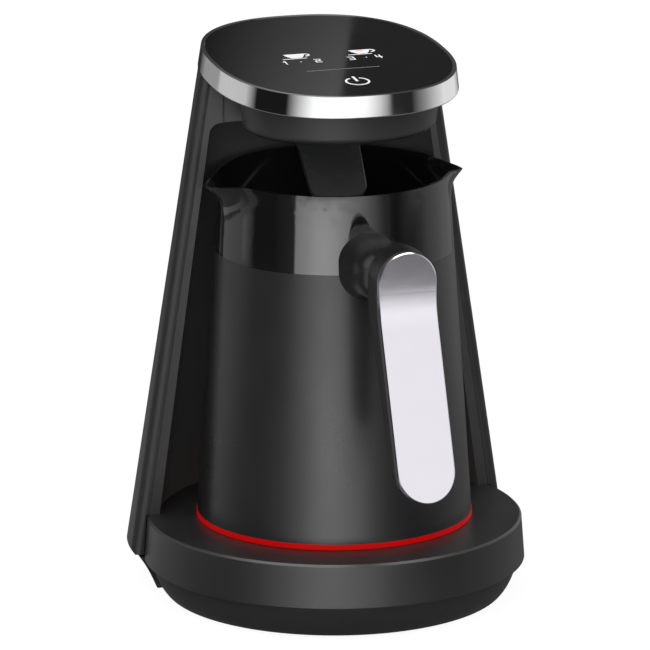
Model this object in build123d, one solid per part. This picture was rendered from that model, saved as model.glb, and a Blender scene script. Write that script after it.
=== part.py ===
"""Electric Turkish coffee maker: a round base, a hollow column, an overhanging head with a touch
panel, a hinged sensor arm and a lift-off pot. Millimetres, +Z up, front of the machine towards -Y.
Every shape is drawn about the seat axis, the upright line that the pot turns on, and the whole is
shifted along Y at export so that the origin lies under the centre of the bounding box."""
from build123d import *
from math import cos, exp, pi, radians, sin, sqrt, tan
import os

# ---- driving dimensions -------------------------------------------------------------------------
GAP = 0.3                # clearance between neighbouring curved faces and moving bodies
WALL = 2.4               # moulded wall
EDGE = 0.9               # bevel along the outer edges of mouldings
BIG = 400.0              # size of a cutting block

# base
BASE_BOTTOM_Z = 1.2
BAND_BOTTOM_Z = 15.6
BASE_TOP_Z = 34.5
BASE_TOP_R = 80.0
BAND_R = 81.3            # widest, near the lower edge of the band
BOWL_TOP_R = 78.3
BOWL_FLOOR_R = 71.0
BOWL_POWER = 1.45        # roundness of the bowl's side
BOWL_REAR_CUTS = ((BAND_BOTTOM_Z, 3.8), (8.5, 8.2), (BASE_BOTTOM_Z, 11.5))  # z, inset

# column: superellipse outlines about a line OVAL_Y behind the seat axis
OVAL_Y = 7.0
OVAL_POWER = 2.4
COLUMN_POWERS = (2.63, 2.09)      # squarer at the foot, rounder under the head
COLUMN_BOTTOM_Z = 17.0
COLUMN_TOP_Z = 232.0
COLUMN_BOTTOM_HALF = (84.7, 77.3)
COLUMN_TOP_HALF = (53.05, 63.0)
WING_Y = 20.0            # plane of the column's two front faces
LIP = 5.2                # width of the back shell's front edge
NICHE_BOTTOM_R = 74.6
NICHE_TOP_R = 52.3
NICHE_TOP_Z = 203.7
NICHE_ROUND = 5.0
WING_ROUND = 3.5
FOOT_ROUND = 2.6         # of the back shell's lower edge
FLANGE_DEPTH = 14.0      # of the front shell's rim, front to back
CABLE_W = 20.0
CABLE_T = 1.0
CABLE_PATH = [(8, 11.1), (24, 11.1), (60, 21), (77.6, 26), (78.4, 38), (68.0, 200), (65.5, 216),
              (52, 227), (40, 229.4)]

# base fittings
FOOT_R = 6.5
FOOT_RING_R = 61.0
FOOT_TOP_Z = BASE_BOTTOM_Z + 1.2
COVER_INSET = 2.7        # of the base top's rear below the column's skin
SOCKET_R = 19.0
SOCKET_BOTTOM_Z = 22.0
SOCKET_FLANGE = (4.0, 2.5)       # how far it stands out, thickness
CABLE_SLOT = (76.6, 80.2)        # y of the base top's slot for the ribbon cable

# fasteners: screws, their bosses and holes
SCREW_R = 1.3
SCREW_HEAD_R = 3.1
SCREW_HEAD_H = 2.0
SCREW_SLOT = (0.8, 0.8)          # width, depth
BOSS_R = 4.5
SHANK_HOLE_R = 2.0
HEAD_HOLE_R = 3.6
PILOT_R = 1.4
SCREW_SEAT_Z = 7.5
BASE_SCREW_L = 20.0
BASE_SCREW_RING_R = 56.0
COLUMN_SCREW_HEAD_R = 2.3
COLUMN_SCREW_L = 12.0
COLUMN_BOSS_R = 3.2
COLUMN_BOSS_H = 14.0
COLUMN_SCREW_POINTS = [(side * x, y) for side in (-1, 1) for x, y in ((58, 53), (30, 72.4))]

# cord entry
CORD_BORE_R = 3.4
GLAND_R = 4.6
GLAND_Z = 8.6
GLAND_Y = OVAL_Y + COLUMN_BOTTOM_HALF[1] - 7.5
GLAND_L = 12.0
GLAND_FLANGE = (1.4, 2.0)        # how far it stands out, thickness
GLAND_CLIP = (0.5, 2.0)

# electronics of the base
BOARD_Z = 9.0
BOARD_T = 1.6
BOARD_X = (-34.0, 34.0)
BOARD_Y = (-32.0, 18.0)
BOARD_POST_R = 2.5
BOARD_POINTS = [(x, y) for x in (-30, 30) for y in (-28, 14)]
RELAY = (-30.0, -14.0, -24.0, -12.0, 9.0)        # x, x, y, y, height
TRANSFORMER = (12.0, 30.0, -26.0, -10.0, 10.0)
TRANSFORMER_NOTCH = (3.0, 3.0, 7.0)              # depth, low and high edge above the board

# head: its pieces share one plane tilted towards the user
HEAD_TILT = 4.4
HEAD_Y = 8.2             # centre of the head's outlines
HEAD_Z = 232.6           # height of the glass over that centre
HEAD_BAND_H = 9.35
GLASS_HALF = (49.4, 58.4)
GLASS_T = 3.0
RIM_W = 1.8
BAND_FLARE = 1.2
BAND_ROUND = 0.5
BAND_INNER = (GLASS_HALF[0] + 0.4, GLASS_HALF[1] + 0.4)
LEDGE = (2.2, 2.0)       # the ledge that the glass rests on: width, thickness
LID_HALF = (41.2, 35.8)  # rounded bowl that hangs over the pot
LID_Y = -7.0
LID_ROUND = (16.0, 4.6)  # how far its lower edge rounds inwards and upwards
LID_FLARE = 4.0
HEAD_BOTTOM_Z = 203.0
POCKET_HALF = 42.2       # shallow recess of the column's front faces beside the lid
POCKET_DEPTH = 1.2
HEAD_BOARD_INSET = 3.0
HEAD_BOARD_Z = -GLASS_T - 0.2 - BOARD_T  # underside of the board, in the head's frame
KEY_POINTS = ((-14.5, 2.5), (14.5, 2.5), (0, -37.6))
LED_W = 3.0
LED_H = 2.0
BUZZER_POINT = (0.0, 8.0)
BUZZER_R = 6.0
BUZZER_H = 5.0

# sensor arm
ARM_PIVOT = (13.3, 199.8)    # y, z
ARM_LEAN = 41.0
ARM_LENGTH = 34.0
ARM_TOP_W = 26.9
ARM_TIP_W = 24.2
ARM_T = 3.0
ARM_SHOULDER = 8.0       # from the pivot to where the arm starts to narrow
ARM_CORNER = 6.2
ARM_BEVEL = 0.6
ARM_BARREL_R = 2.7
ARM_RECESS = (7.0, 13.0, 2.4)    # of its back: less width, less length, depth
PIN_R = 1.25
LUG_R = 3.2
LUG_T = 3.0
LUG_PLAY = 0.4
WINDOW_R = 3.0
WINDOW_T = 0.8
WINDOW_UP = 7.0          # of the window's centre above the arm's tip

# pot
POT_Z = BASE_TOP_Z + GAP
POT_FOOT_R = 58.8
POT_WALL_R = 58.6        # outside of the sleeve at its lower edge
SLEEVE_BOTTOM_Z = POT_Z + 2.3
SLEEVE_T = 1.2
SLEEVE_TOP_Z = 151.5
RIM_Z = 184.6
RIM_R = 48.5
VESSEL_T = 1.4
VESSEL_FLOOR_Z = 62.0
SPOUT_REACH = 9.2        # how far the spout tips stand out of the round rim
SPOUT_HALF_ANGLES = (5.0, 13.0)  # where the spout starts, and at the rim
SPOUT_START_Z = 160.0
SPOUT_GROWTH = 4.5
SPOUT_DROP = 3.4
SPOUT_ANGLES = (-80, -60, -42, -32, -25, -19, -14, -9, -5, -2, 2, 5, 9, 14, 19, 25, 32, 42, 60, 80)
POT_SCREW_RING_R = 50.5
POT_BOSS_R = 4.0
POT_BOSS_H = 14.0
POT_SCREW_SINK = 1.2     # of the screws' seats above the pot's underside
FOOT_RING_W = 2.8        # width of the light ring

# power post that the pot sits over, and what meets it under the pot
POST_TOP_Z = 45.0
POST_R = 9.0
POST_BEVEL = 1.0
POST_PLAY = 0.6
SLOT_FLOOR_Z = BASE_TOP_Z + 1.5
SLOT_R = (5.0, 6.8)      # inside and outside of the ring-shaped slot
BORE_R = 3.0
LINER_R = (2.2, 6.3)     # inside of the bore's and of the slot's metal liner
CONNECTOR_R = 17.0
CONNECTOR_FLANGE = (4.0, 2.0)    # how far it stands out, thickness
PIN_CONTACT_R = 1.6
BLADE_R = (5.4, 5.9)

# heater
HEATER_R = 44.0
HEATER_T = 3.0
ELEMENT_RING_R = 33.0
ELEMENT_R = 3.0
ELEMENT_GAP = 28.0       # degrees left open between the element's ends
ELEMENT_END_R = 1.5
THERMOSTAT_R = (8.0, 5.5)
THERMOSTAT_H = (4.0, 6.0)
THERMOSTAT_LUG = (12.0, 2.5, 1.0)        # half length, half width, thickness

# handle
LEVER_W = 24.9
LEVER_TOP = (-97.9, 172.0)       # y, z of the plate's front face
LEVER_KNEE = (-97.9, 147.8)
LEVER_BOTTOM = (-126.8, 73.0)
KNEE_REACH = 7.0         # length of the bend to each side of the knee
PLATE_T = 1.6
PLATE_BEVEL = 0.4
LEVER_BACK = (13.1, 5.6)         # of the lever's back behind its front, at the top and the foot
CORE_MARGIN = 0.6        # how far the lever's back shows around the plate
HANDLE_SCREW_ZS = (153.0, 163.0)
HANDLE_SCREW_HEAD_Y = (-72.0, -70.0)
# y, z, width, height and corner radius of the neck's sections
NECK_SECTIONS = ((-46.0, 154.8, 27.6, 28.0, 12.0), (-52.0, 154.9, 27.0, 27.4, 11.5),
                 (-57.0, 155.6, 25.2, 25.8, 10.5), (-64.0, 156.6, 24.2, 24.8, 9.6),
                 (-78.0, 157.8, 23.7, 24.0, 8.8), (-92.0, 158.7, 23.2, 23.4, 8.0))

# the origin lies under the centre of the box, between the lever's tip and the column's back
SEAT_Y = -(LEVER_BOTTOM[0] + OVAL_Y + COLUMN_BOTTOM_HALF[1]) / 2

OUT = "parts"


# ---- helpers ------------------------------------------------------------------------------------
def oval(half_width, half_length, power=OVAL_POWER, count=40):
    """Superellipse face, centred on the outlines' own axis."""
    points = []
    for k in range(count):
        angle = 2 * pi * k / count
        reach = abs(cos(angle) / half_width) ** power + abs(sin(angle) / half_length) ** power
        radius = reach ** (-1 / power)
        points.append((radius * cos(angle), radius * sin(angle)))
    return make_face(Spline(*points, periodic=True))


def turned(points):
    """Solid of revolution about the seat axis of a closed (radius, height) profile."""
    return revolve(Plane.XZ * make_face(Polyline(*points, close=True)), Axis.Z)


def cylinder(radius, low, high, x=0.0, y=0.0):
    return Pos(x, y, (low + high) / 2) * Cylinder(radius, high - low)


def cone(low_r, high_r, low, high):
    return Pos(0, 0, (low + high) / 2) * Cone(low_r, high_r, high - low)


def block(x0, x1, y0, y1, z0, z1):
    return Pos((x0 + x1) / 2, (y0 + y1) / 2, (z0 + z1) / 2) * Box(x1 - x0, y1 - y0, z1 - z0)


def behind(y):
    """Half space behind the plane at y."""
    return block(-BIG / 2, BIG / 2, y, y + BIG, -BIG / 2, BIG)


def above(z):
    return block(-BIG / 2, BIG / 2, -BIG / 2, BIG / 2, z, z + BIG)


def around(radius, count, start=45.0):
    """Points evenly spaced on a circle about the seat axis."""
    angles = [radians(start + 360 * k / count) for k in range(count)]
    return [(radius * cos(a), radius * sin(a)) for a in angles]


def screw(x, y, seat_z, length, head_r=SCREW_HEAD_R):
    """Pan-head screw driven upwards, its head under seat_z."""
    low, (width, depth) = seat_z - SCREW_HEAD_H, SCREW_SLOT
    body = cylinder(head_r, low, seat_z, x, y) + cylinder(SCREW_R, seat_z, seat_z + length, x, y)
    return body - block(x - SHANK_HOLE_R, x + SHANK_HOLE_R, y - width / 2, y + width / 2,
                        low, low + depth)


def along_y(radius, low, high, z, x=0.0):
    """Cylinder lying along Y."""
    return Pos(x, (low + high) / 2, z) * Rot(90, 0, 0) * Cylinder(radius, high - low)


def along_x(radius, half, y, z):
    """Cylinder lying along X, centred on X = 0."""
    return Pos(0, y, z) * Rot(0, 90, 0) * Cylinder(radius, 2 * half)


def degrees_of(x, y):
    """Direction of a point about the seat axis, in degrees."""
    return Vector(x, y, 0).get_signed_angle(Vector(1, 0, 0)) * -1


def export(name, made):
    """Write one named piece, shifted from the seat axis into the part's frame."""
    shapes = made if isinstance(made, list) else [made]
    solids = [solid for shape in shapes for solid in shape.solids()]
    moved = [Pos(0, SEAT_Y, 0) * solid for solid in solids]
    export_step(moved[0] if len(moved) == 1 else Compound(children=moved), f"{OUT}/{name}.step")


# ---- column outlines ----------------------------------------------------------------------------
def column_half(z):
    """Half width and half length of the column's outer outline at height z."""
    share = (z - COLUMN_BOTTOM_Z) / (COLUMN_TOP_Z - COLUMN_BOTTOM_Z)
    return [low + (top - low) * share for low, top in zip(COLUMN_BOTTOM_HALF, COLUMN_TOP_HALF)]


def column_body(inset, low=COLUMN_BOTTOM_Z, high=COLUMN_TOP_Z):
    """Full tapering body of the column, its outline moved inwards by inset."""
    sections = []
    for z, power in zip((COLUMN_BOTTOM_Z - 2, COLUMN_TOP_Z), COLUMN_POWERS):
        width, length = column_half(z)
        sections.append(Pos(0, OVAL_Y, z) * oval(width - inset, length - inset, power))
    return loft(sections, ruled=True) & block(-BIG / 2, BIG / 2, -BIG / 2, BIG / 2, low, high)


def niche_radius(z):
    slope = (NICHE_BOTTOM_R - NICHE_TOP_R) / (NICHE_TOP_Z - BASE_TOP_Z)
    return NICHE_BOTTOM_R - (z - BASE_TOP_Z) * slope


# the plane of the glass, with its local Z square to the tilted head
HEAD_PLANE = Plane(origin=(0, HEAD_Y, HEAD_Z), x_dir=(1, 0, 0),
                   z_dir=(0, -sin(radians(HEAD_TILT)), cos(radians(HEAD_TILT))))


def head_prism(half, low, high, flare=0.0):
    """Prism of a superellipse outline between two levels of the head's tilted frame."""
    top = Pos(0, 0, high) * oval(*half)
    bottom = Pos(0, 0, low) * oval(half[0] + flare, half[1] + flare)
    return HEAD_PLANE * loft([bottom, top], ruled=True)


def grown(half, amount):
    return (half[0] + amount, half[1] + amount)


def below_head():
    """Everything under the lower edge of the metal band."""
    return HEAD_PLANE * (Pos(0, 0, -HEAD_BAND_H - BIG / 2) * Box(BIG, BIG, BIG))


# ---- base ---------------------------------------------------------------------------------------
def bowl_body(inset=0.0):
    """Lower housing: a turned bowl, widened behind to follow the column."""
    floor = BASE_BOTTOM_Z + inset
    rim_r, floor_r = BOWL_TOP_R - inset, BOWL_FLOOR_R - inset
    side = []
    for turn in (radians(90 * k / 8) for k in range(9)):
        out, down = cos(turn) ** (2 / BOWL_POWER), sin(turn) ** (2 / BOWL_POWER)
        side.append((floor_r + (rim_r - floor_r) * out,
                     BAND_BOTTOM_Z - (BAND_BOTTOM_Z - floor) * down))
    profile = make_face(Polyline(side[-1], (0, floor), (0, BAND_BOTTOM_Z), side[0])
                        + Spline(*side))
    bowl = revolve(Plane.XZ * profile, Axis.Z)
    width, length = COLUMN_BOTTOM_HALF
    rear = loft([Pos(0, OVAL_Y, max(z, floor))
                 * oval(width - cut - inset, length - cut - inset, COLUMN_POWERS[0])
                 for z, cut in BOWL_REAR_CUTS])
    return bowl + (rear & behind(WING_Y + 1 + inset))


def base_bowl():
    shell = bowl_body() - bowl_body(WALL)
    low, high = BASE_BOTTOM_Z + 1, BAND_BOTTOM_Z - 1
    screw_points = around(BASE_SCREW_RING_R, 3, start=30.0)
    shell += [cylinder(BOSS_R, low, high, x, y) for x, y in screw_points]
    shell += [cylinder(BOARD_POST_R, low, BOARD_Z, x, y) for x, y in BOARD_POINTS]
    shell += along_y(GLAND_R + WALL, GLAND_Y - GLAND_L, GLAND_Y, GLAND_Z)
    shell -= [cylinder(SHANK_HOLE_R, 0, BAND_BOTTOM_Z, x, y) for x, y in screw_points]
    shell -= [cylinder(HEAD_HOLE_R, 0, SCREW_SEAT_Z, x, y) for x, y in screw_points]
    shell -= [cylinder(FOOT_R + 0.1, 0, FOOT_TOP_Z, x, y) for x, y in around(FOOT_RING_R, 4)]
    shell -= along_y(GLAND_R, GLAND_Y - 2 * GLAND_L, GLAND_Y + GLAND_L, GLAND_Z)
    return shell - along_y(GLAND_R + GLAND_FLANGE[0] + 0.2, GLAND_Y, BIG, GLAND_Z)


def rubber_feet():
    return [cylinder(FOOT_R, 0, FOOT_TOP_Z, x, y) for x, y in around(FOOT_RING_R, 4)]


def cover_body(inset=0.0):
    """Base top with its turned band, widened behind to carry the column."""
    top, low = BASE_TOP_Z - inset, BAND_BOTTOM_Z
    if inset:
        inner = BASE_TOP_R - inset
        band = turned([(0, low), (inner, low), (inner, top), (0, top)])
    else:
        band = turned([(0, low), (BAND_R - EDGE / 2, low), (BAND_R, low + EDGE / 2),
                       (BASE_TOP_R, top - EDGE), (BASE_TOP_R - EDGE, top), (0, top)])
    rear = column_body(COVER_INSET + inset * 0.8, low=BAND_BOTTOM_Z, high=top)
    return band + (rear & behind(WING_Y + 2 * WALL + GAP + inset))


def base_cover():
    shell = cover_body() - cover_body(WALL) - cylinder(SOCKET_R + 0.2, BAND_BOTTOM_Z, BIG)
    screw_points = around(BASE_SCREW_RING_R, 3, start=30.0)
    low, high = BAND_BOTTOM_Z - 1, BASE_TOP_Z - 1
    shell += [cylinder(BOSS_R, low, high, x, y) for x, y in screw_points]
    shell -= [cylinder(PILOT_R, 0, BASE_TOP_Z - WALL, x, y) for x, y in screw_points]
    shell -= block(-CABLE_W / 2 - 1, CABLE_W / 2 + 1, *CABLE_SLOT, low, BIG)
    return shell - [cylinder(PILOT_R, 0, BIG, x, y) for x, y in COLUMN_SCREW_POINTS]


def base_screws():
    return [screw(x, y, SCREW_SEAT_Z, BASE_SCREW_L)
            for x, y in around(BASE_SCREW_RING_R, 3, start=30.0)]


def cord_gland():
    (flange, flange_t), (clip, clip_t) = GLAND_FLANGE, GLAND_CLIP
    inner = GLAND_Y - GLAND_L
    bush = along_y(GLAND_R, inner, GLAND_Y, GLAND_Z)
    bush += along_y(GLAND_R + flange, GLAND_Y, GLAND_Y + flange_t, GLAND_Z)
    bush += along_y(GLAND_R + clip, inner - clip_t, inner, GLAND_Z)
    return bush - along_y(CORD_BORE_R, inner - GLAND_L, GLAND_Y + GLAND_L, GLAND_Z)


def power_socket():
    """Round post with a centre bore and one ring-shaped slot, clipped under the base top."""
    under, low, (flange, flange_t) = BASE_TOP_Z - WALL, SOCKET_BOTTOM_Z, SOCKET_FLANGE
    body_r = SOCKET_R - 3
    post = turned([(0, low), (body_r, low), (body_r, under - flange_t),
                   (SOCKET_R + flange, under - flange_t), (SOCKET_R + flange, under),
                   (SOCKET_R, under), (SOCKET_R, BASE_TOP_Z), (POST_R, BASE_TOP_Z),
                   (POST_R, POST_TOP_Z - POST_BEVEL), (POST_R - POST_BEVEL, POST_TOP_Z),
                   (0, POST_TOP_Z)])
    inner, outer = SLOT_R
    slot = cylinder(outer, SLOT_FLOOR_Z, BIG) - cylinder(inner, SLOT_FLOOR_Z, BIG)
    return post - slot - cylinder(BORE_R, SLOT_FLOOR_Z, BIG)


def socket_contacts():
    low, high = SLOT_FLOOR_Z, POST_TOP_Z - POST_BEVEL
    return [cylinder(outer, low, high) - cylinder(inner, low, high)
            for outer, inner in zip((BORE_R, SLOT_R[1]), LINER_R)]


def power_board():
    return block(*BOARD_X, *BOARD_Y, BOARD_Z, BOARD_Z + BOARD_T)


def power_relay():
    low, height = BOARD_Z + BOARD_T, RELAY[4]
    return block(*RELAY[:4], low, low + height)


def transformer():
    low, (x0, x1, y0, y1, height) = BOARD_Z + BOARD_T, TRANSFORMER
    depth, notch_low, notch_high = TRANSFORMER_NOTCH
    core = block(x0, x1, y0, y1, low, low + height)
    return core - [block(x, x + depth, y0 - 1, y1 + 1, low + notch_low, low + notch_high)
                   for x in (x0, x1 - depth)]


# ---- column -------------------------------------------------------------------------------------
def column_back_shell():
    skin = column_body(0) & behind(WING_Y)
    front_edges = [edge for edge in skin.edges()
                   if abs(edge.center().Y - WING_Y) < 0.5 and edge.bounding_box().size.Z > 100]
    skin = fillet(front_edges, WING_ROUND) - shell_foot_cut()
    shell = skin - (column_body(LIP, low=COLUMN_BOTTOM_Z - 1) & behind(WING_Y - 1))
    shell -= column_body(WALL, low=COLUMN_BOTTOM_Z - 1) & behind(WING_Y + 2 * WALL)
    shell -= cone(BAND_R + GAP, BASE_TOP_R + GAP, BAND_BOTTOM_Z, BASE_TOP_Z)
    return shell & below_head()


def shell_foot_cut():
    """What comes off the back shell to round its lower edge inwards."""
    low, high = COLUMN_BOTTOM_Z, COLUMN_BOTTOM_Z + FOOT_ROUND
    width, length = column_half(high)
    turns = [radians(90 * k / 4) for k in range(5)]
    rounds = [(high - FOOT_ROUND * cos(turn), FOOT_ROUND * (1 - sin(turn))) for turn in turns]
    kept = loft([Pos(0, OVAL_Y, z) * oval(width - cut, length - cut, COLUMN_POWERS[0])
                 for z, cut in rounds])
    return block(-BIG / 2, BIG / 2, -BIG / 2, BIG / 2, low - 1, high) - kept


def niche_solid(thickness=0.0, high=NICHE_TOP_Z):
    """Pot bay as a solid: a cone with a rounded upper edge, grown outwards by thickness."""
    low = BASE_TOP_Z
    bay = cone(niche_radius(low) + thickness, niche_radius(high) + thickness, low, high)
    return fillet(bay.edges().group_by(Axis.Z)[-1], NICHE_ROUND + thickness)


def column_front_shell():
    outline = column_body(LIP + 0.1, low=BASE_TOP_Z) & behind(WING_Y) & below_head()
    faces = outline & block(-BIG, BIG, WING_Y, WING_Y + WALL, 0, BIG)
    flanges = (outline - column_body(LIP + WALL, low=BASE_TOP_Z)) & block(
        -BIG, BIG, WING_Y, WING_Y + FLANGE_DEPTH, 0, BIG)
    bay_wall = outline & niche_solid(WALL, NICHE_TOP_Z + WALL)
    shell = faces + flanges + bay_wall
    low, high = BASE_TOP_Z, BASE_TOP_Z + COLUMN_BOSS_H
    shell += [cylinder(COLUMN_BOSS_R, low, high, x, y) for x, y in COLUMN_SCREW_POINTS]
    shell -= [cylinder(SCREW_R, low, high - 1, x, y) for x, y in COLUMN_SCREW_POINTS]
    shell -= niche_solid()
    shell -= block(-POCKET_HALF, POCKET_HALF, 0, WING_Y + POCKET_DEPTH, NICHE_TOP_Z - 10, BIG)
    edges = [edge for edge in shell.edges().filter_by(Axis.Z)
             if abs(abs(edge.center().X) - POCKET_HALF) < 0.1 and edge.center().Y < WING_Y + 0.1]
    return fillet(edges, POCKET_DEPTH - 0.2) - head_bowl(-GAP / 2)


def column_screws():
    seat = BASE_TOP_Z - WALL
    return [screw(x, y, seat, COLUMN_SCREW_L, COLUMN_SCREW_HEAD_R) for x, y in COLUMN_SCREW_POINTS]


def strip(path, width, thickness):
    """Flat strip along points (y, z): one slab for each run and a round one at each bend."""
    pieces = []
    for (y0, z0), (y1, z1) in zip(path, path[1:]):
        run = Vector(0, y1 - y0, z1 - z0)
        middle = Plane(origin=(0, (y0 + y1) / 2, (z0 + z1) / 2), x_dir=(1, 0, 0), z_dir=run)
        pieces.append(middle * Box(width, thickness, run.length))
    for y, z in path[1:-1]:
        pieces.append(along_x(thickness / 2, width / 2, y, z))
    whole = pieces[0]
    for piece in pieces[1:]:
        whole += piece
    return whole


def ribbon_cable():
    return strip(CABLE_PATH, CABLE_W, CABLE_T)


# ---- head ---------------------------------------------------------------------------------------
def head_bowl(inset=0.0):
    """Solid of the rounded bowl under the head, moved inwards by inset."""
    width, length = LID_HALF[0] - inset, LID_HALF[1] - inset
    low, (inwards, upwards) = HEAD_BOTTOM_Z + inset, LID_ROUND
    turns = [radians(90 * k / 6) for k in range(7)]
    rounds = [(low + upwards * (1 - cos(turn)), inwards * (1 - sin(turn))) for turn in turns]
    lower = loft([Pos(0, LID_Y, z) * oval(width - cut, length - cut, 2) for z, cut in rounds])
    upper = loft([Pos(0, LID_Y, low + upwards) * oval(width, length, 2),
                  Pos(0, LID_Y, HEAD_Z + 10) * oval(width + LID_FLARE, length + LID_FLARE, 2)],
                 ruled=True)
    return lower + upper


def head_housing():
    flange = head_prism(grown(BAND_INNER, -0.1), -HEAD_BAND_H, -HEAD_BAND_H + LEDGE[1])
    shell = (head_bowl() & below_head()) + flange - head_bowl(WALL)
    roof = NICHE_TOP_Z + WALL
    shell -= behind(WING_Y - GAP) & block(-BIG, BIG, -BIG, BIG, 0, roof + GAP)
    shell -= block(-CABLE_W / 2 - 1, CABLE_W / 2 + 1, CABLE_PATH[-1][0] - 3, BIG, roof + 5, BIG)
    pivot_y, pivot_z = ARM_PIVOT
    inner = ARM_TOP_W / 2 + LUG_PLAY
    outer = inner + LUG_T
    lugs = block(-outer, outer, pivot_y - LUG_R, pivot_y + LUG_R, pivot_z, HEAD_BOTTOM_Z + 1)
    lugs += along_x(LUG_R, outer, pivot_y, pivot_z)
    lugs -= block(-inner, inner, pivot_y - 2 * LUG_R, pivot_y + 2 * LUG_R, 0, HEAD_BOTTOM_Z)
    return shell + lugs - along_x(PIN_R, outer + 2, pivot_y, pivot_z)


def chrome_band():
    ledge_w, ledge_t = LEDGE
    ring = head_prism(grown(GLASS_HALF, RIM_W), -HEAD_BAND_H, 0, BAND_FLARE)
    ring = fillet(ring.edges().sort_by(Axis.Z)[0], BAND_ROUND)
    ring -= head_prism(grown(GLASS_HALF, 0.1), -GLASS_T, 1)
    ring -= head_prism(grown(GLASS_HALF, -ledge_w), -BIG / 4, 1)
    return ring - head_prism(BAND_INNER, -BIG / 4, -GLASS_T - ledge_t)


def touch_panel():
    return head_prism(GLASS_HALF, -GLASS_T, -0.1)


def touch_board():
    return head_prism(grown(GLASS_HALF, -HEAD_BOARD_INSET), HEAD_BOARD_Z, HEAD_BOARD_Z + BOARD_T)


def key_leds():
    """One light under each of the three touch symbols."""
    return [HEAD_PLANE * (Pos(x, y, HEAD_BOARD_Z - LED_H / 2) * Box(LED_W, LED_W, LED_H))
            for x, y in KEY_POINTS]


def buzzer():
    middle = Pos(*BUZZER_POINT, HEAD_BOARD_Z - BUZZER_H / 2)
    return HEAD_PLANE * (middle * Cylinder(BUZZER_R, BUZZER_H))


# ---- sensor arm ---------------------------------------------------------------------------------
def arm_place(shape):
    """From the arm's own frame, hanging down from its pivot, to its rest lean."""
    return Pos(0, *ARM_PIVOT) * Rot(-ARM_LEAN, 0, 0) * shape


def sensor_arm():
    half_top, half_tip = ARM_TOP_W / 2, ARM_TIP_W / 2
    outline = make_face(Polyline((-half_top, 0), (half_top, 0), (half_top, -ARM_SHOULDER),
                                 (half_tip, -ARM_LENGTH), (-half_tip, -ARM_LENGTH),
                                 (-half_top, -ARM_SHOULDER), close=True))
    outline = fillet(outline.vertices().group_by(Axis.Y)[0], ARM_CORNER)
    plate = extrude(Plane.XZ * outline, ARM_T / 2, both=True)
    plate = chamfer(plate.faces().sort_by(Axis.Y)[0].edges(), ARM_BEVEL)
    arm = plate + Rot(0, 90, 0) * Cylinder(ARM_BARREL_R, ARM_TOP_W)
    narrower, shorter, depth = ARM_RECESS
    arm -= Pos(0, ARM_T / 2, -ARM_LENGTH / 2 - 1) * Box(ARM_TIP_W - narrower, depth,
                                                        ARM_LENGTH - shorter)
    arm -= Rot(0, 90, 0) * Cylinder(PIN_R + GAP / 5, BIG)
    return arm_place(arm - window_disc(2 * WINDOW_T, 0))


def window_disc(thickness, depth):
    """Disc in the arm's front face, its middle at the given depth."""
    return (Pos(0, depth - ARM_T / 2, WINDOW_UP - ARM_LENGTH) * Rot(90, 0, 0)
            * Cylinder(WINDOW_R, thickness))


def sensor_window():
    return arm_place(window_disc(WINDOW_T, WINDOW_T / 2))


def arm_pin():
    return along_x(PIN_R, ARM_TOP_W / 2 + LUG_T + LUG_PLAY / 2, *ARM_PIVOT)


# ---- pot ----------------------------------------------------------------------------------------
def wall_radius(z):
    """Outside of the pot, one straight taper from the foot to the rim."""
    slope = (POT_WALL_R - RIM_R) / (RIM_Z - SLEEVE_BOTTOM_Z)
    return POT_WALL_R - (z - SLEEVE_BOTTOM_Z) * slope


def rim_outline(z, inset):
    """Pot outline at height z: round, with two opposed spouts that grow towards the rim."""
    tip_z = RIM_Z - SPOUT_DROP
    growth = min(1.0, max(0.0, (z - SPOUT_START_Z) / (tip_z - SPOUT_START_Z)))
    reach = SPOUT_REACH * growth ** SPOUT_GROWTH
    narrow, wide = SPOUT_HALF_ANGLES
    half_angle = narrow + (wide - narrow) * growth
    points = []
    for side in (0, 180):
        for degrees in SPOUT_ANGLES:
            beak = exp(-abs(degrees / half_angle) ** 1.5)
            radius = wall_radius(z) - inset + reach * beak
            angle = radians(side + degrees)
            points.append((radius * cos(angle), radius * sin(angle)))
    return Pos(0, 0, z) * make_face(Spline(*points, periodic=True))


def spouted_body(inset):
    """Solid of the spouted upper band, cut off at the rim and sloping down to the spout tips."""
    levels = [SLEEVE_TOP_Z + 0.1 + k * (RIM_Z + 2 - SLEEVE_TOP_Z - 0.1) / 9 for k in range(10)]
    return loft([rim_outline(z, inset) for z in levels])


def rim_cut():
    """Everything above the rim: level over the round part, sloping down along each spout."""
    cut = above(RIM_Z)
    slope = Plane(origin=(RIM_R - 3, 0, RIM_Z), x_dir=(0, 1, 0),
                  z_dir=(SPOUT_DROP, 0, SPOUT_REACH + 3))
    wedge = slope * (Pos(0, 0, BIG / 2) * Box(BIG, BIG, BIG))
    wedge &= block(0, BIG, -BIG, BIG, RIM_Z - 10, RIM_Z + 10)
    return cut + wedge + Rot(0, 0, 180) * wedge


def pot_vessel():
    inset = SLEEVE_T + 0.2
    joint = SLEEVE_TOP_Z + 0.1
    lower = cone(wall_radius(VESSEL_FLOOR_Z) - inset, wall_radius(joint) - inset,
                 VESSEL_FLOOR_Z, joint)
    lower = fillet(lower.edges().group_by(Axis.Z)[0], 5.0)
    inside = cone(wall_radius(VESSEL_FLOOR_Z + VESSEL_T) - inset - VESSEL_T,
                  wall_radius(joint) - inset - VESSEL_T, VESSEL_FLOOR_Z + VESSEL_T, joint)
    inside = fillet(inside.edges().group_by(Axis.Z)[0], 4.0)
    upper = spouted_body(0.0)
    hollow = spouted_body(VESSEL_T) & above(joint + VESSEL_T)
    step = cone(wall_radius(joint) - inset - VESSEL_T, wall_radius(joint) - VESSEL_T,
                joint, joint + VESSEL_T)
    return lower + upper - inside - step - hollow - rim_cut()


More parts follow.
